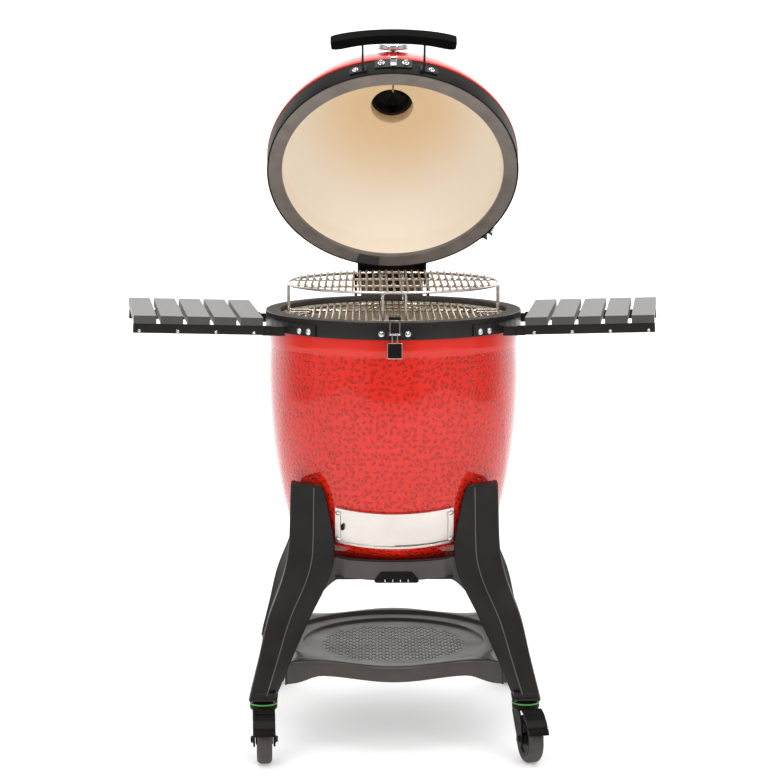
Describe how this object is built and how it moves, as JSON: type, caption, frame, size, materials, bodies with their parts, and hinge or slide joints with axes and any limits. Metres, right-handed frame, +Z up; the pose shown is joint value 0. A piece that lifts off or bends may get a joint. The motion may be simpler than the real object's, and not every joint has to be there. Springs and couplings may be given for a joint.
{
  "type": "kamado ceramic grill",
  "caption": "Egg-shaped ceramic charcoal grill on a wheeled cart with a hinged dome lid, fold-down side shelves, wire grates and a lower tray.",
  "frame": {"origin": "on the floor, under the middle of the object, on the bowl's vertical axis", "axes": "+Z up, -Y towards the front with the latch and draft door, +X to the viewer's right"},
  "size_m": [1.1658, 0.7472, 1.5008],
  "materials": {
    "red_glaze": "high-gloss red glaze with a fine dimpled relief",
    "gasket": "woven fibre, warm grey",
    "black_steel": "black powder coat, satin",
    "stainless_wire": "bright drawn rod",
    "stainless_sheet": "bright sheet",
    "steel": "zinc-plated steel",
    "chrome": "polished",
    "cast_iron": "raw cast",
    "cast_aluminium": "black-coated casting",
    "fire_clay": "unglazed fire clay",
    "deflector_clay": "unglazed sandy clay",
    "slat_composite": "grey brushed composite board",
    "shelf_grey": "warm dark grey satin coat",
    "handle_black": "black, fine texture",
    "latch_black": "black coat",
    "caster_plastic": "black glass-filled plastic",
    "tyre": "black rubber tread"
  },
  "bodies": {
    "root": {"base_band": "black_steel", "base_gasket": "gasket", "base_shell": "red_glaze", "charcoal_grate": "cast_iron", "cooking_rack": "stainless_wire", "draft_door_frame": "stainless_sheet", "fire_box": "fire_clay", "fire_ring": "fire_clay", "heat_deflector_left": "deflector_clay", "heat_deflector_right": "deflector_clay", "hinge_base_bracket": "black_steel", "hinge_pin": "steel", "hinge_spring": "steel", "latch_plate": "black_steel", "leg_front_left": "black_steel", "leg_front_right": "black_steel", "leg_rear_left": "black_steel", "leg_rear_right": "black_steel", "lower_shelf": "shelf_grey", "shelf_bracket_left_front": "black_steel", "shelf_bracket_left_rear": "black_steel", "shelf_bracket_right_front": "black_steel", "shelf_bracket_right_rear": "black_steel", "upper_frame": "black_steel"},
    "lid": {"lid_band": "black_steel", "lid_gasket": "gasket", "lid_handle": "handle_black", "lid_shell": "red_glaze", "hinge_lid_bracket": "black_steel", "latch_keeper": "black_steel", "thermometer": "chrome", "vent_base": "cast_aluminium"},
    "vent_cap": {"vent_cap": "cast_aluminium"},
    "latch_lever": {"latch_lever": "latch_black"},
    "latch_bail": {"latch_bail": "steel"},
    "draft_door": {"draft_door": "stainless_sheet"},
    "cooking_grate": {"cooking_grate": "stainless_wire"},
    "expander_grate": {"expander_grate": "stainless_wire"},
    "side_shelf_left": {"shelf_frame_left": "black_steel", "shelf_slat_left_1": "slat_composite", "shelf_slat_left_2": "slat_composite", "shelf_slat_left_3": "slat_composite", "shelf_slat_left_4": "slat_composite", "shelf_slat_left_5": "slat_composite"},
    "side_shelf_right": {"shelf_frame_right": "black_steel", "shelf_slat_right_1": "slat_composite", "shelf_slat_right_2": "slat_composite", "shelf_slat_right_3": "slat_composite", "shelf_slat_right_4": "slat_composite", "shelf_slat_right_5": "slat_composite"},
    "caster_front_left": {"caster_fork_front_left": "caster_plastic"},
    "wheel_front_left": {"caster_wheel_front_left": "tyre"},
    "caster_front_right": {"caster_fork_front_right": "caster_plastic"},
    "wheel_front_right": {"caster_wheel_front_right": "tyre"},
    "caster_rear_left": {"caster_fork_rear_left": "caster_plastic"},
    "wheel_rear_left": {"caster_wheel_rear_left": "tyre"},
    "caster_rear_right": {"caster_fork_rear_right": "caster_plastic"},
    "wheel_rear_right": {"caster_wheel_rear_right": "tyre"},
    "brake_front_left": {"caster_brake_front_left": "caster_plastic"},
    "brake_front_right": {"caster_brake_front_right": "caster_plastic"}
  },
  "joints": [
    {"name": "lid_hinge", "type": "hinge", "parent": "root", "child": "lid", "pos_m": [0, 0.336, 0.942], "axis": [-1, 0, 0], "range_deg": [-52.8, 0]},
    {"name": "vent_cap_turn", "type": "hinge", "parent": "lid", "child": "vent_cap", "pos_m": [0, 0.34314, 1.36925], "axis": [0, 0.7965, 0.6046], "range_deg": [0, 45]},
    {"name": "latch_lever_hinge", "type": "hinge", "parent": "root", "child": "latch_lever", "pos_m": [0, -0.2835, 0.887], "axis": [-1, 0, 0], "range_deg": [0, 80]},
    {"name": "latch_bail_hinge", "type": "hinge", "parent": "root", "child": "latch_bail", "pos_m": [0, -0.2935, 0.8925], "axis": [1, 0, 0], "range_deg": [0, 45]},
    {"name": "draft_door_slide", "type": "hinge", "parent": "root", "child": "draft_door", "pos_m": [0, 0, 0.534], "axis": [0, -0.2588, 0.9659], "range_deg": [0, 26.5]},
    {"name": "side_shelf_left_fold", "type": "hinge", "parent": "root", "child": "side_shelf_left", "pos_m": [-0.27915, -0.03997, 0.88166], "axis": [0.1347, -0.9909, 0], "range_deg": [0, 88]},
    {"name": "side_shelf_right_fold", "type": "hinge", "parent": "root", "child": "side_shelf_right", "pos_m": [0.27915, -0.03997, 0.88166], "axis": [0.1347, 0.9909, 0], "range_deg": [0, 88]},
    {"name": "cooking_grate_lift", "type": "slide", "parent": "root", "child": "cooking_grate", "axis": [0, 0, 1], "range_m": [0, 0.12]},
    {"name": "expander_grate_lift", "type": "slide", "parent": "cooking_grate", "child": "expander_grate", "axis": [0, 0, 1], "range_m": [0, 0.1]},
    {"name": "caster_swivel_front_left", "type": "hinge", "parent": "root", "child": "caster_front_left", "pos_m": [-0.2716, -0.2716, 0.124], "axis": [0, 0, 1], "continuous": true},
    {"name": "wheel_spin_front_left", "type": "hinge", "parent": "caster_front_left", "child": "wheel_front_left", "pos_m": [-0.26944, -0.30252, 0.05], "axis": [0.9976, 0.0698, 0], "continuous": true},
    {"name": "brake_pedal_front_left", "type": "hinge", "parent": "caster_front_left", "child": "brake_front_left", "pos_m": [-0.27055, -0.28656, 0.114], "axis": [0.9976, 0.0698, 0], "range_deg": [0, 8]},
    {"name": "caster_swivel_front_right", "type": "hinge", "parent": "root", "child": "caster_front_right", "pos_m": [0.2716, -0.2716, 0.124], "axis": [0, 0, 1], "continuous": true},
    {"name": "wheel_spin_front_right", "type": "hinge", "parent": "caster_front_right", "child": "wheel_front_right", "pos_m": [0.2791, -0.30168, 0.05], "axis": [0.9703, 0.2419, 0], "continuous": true},
    {"name": "brake_pedal_front_right", "type": "hinge", "parent": "caster_front_right", "child": "brake_front_right", "pos_m": [0.27523, -0.28615, 0.114], "axis": [0.9703, 0.2419, 0], "range_deg": [0, 8]},
    {"name": "caster_swivel_rear_left", "type": "hinge", "parent": "root", "child": "caster_rear_left", "pos_m": [-0.2716, 0.2716, 0.124], "axis": [0, 0, 1], "continuous": true},
    {"name": "wheel_spin_rear_left", "type": "hinge", "parent": "caster_rear_left", "child": "wheel_rear_left", "pos_m": [-0.26729, 0.3023, 0.05], "axis": [-0.9903, 0.1392, 0], "continuous": true},
    {"name": "caster_swivel_rear_right", "type": "hinge", "parent": "root", "child": "caster_rear_right", "pos_m": [0.2716, 0.2716, 0.124], "axis": [0, 0, 1], "continuous": true},
    {"name": "wheel_spin_rear_right", "type": "hinge", "parent": "caster_rear_right", "child": "wheel_rear_right", "pos_m": [0.26782, 0.30237, 0.05], "axis": [-0.9925, -0.1219, 0], "continuous": true}
  ]
}
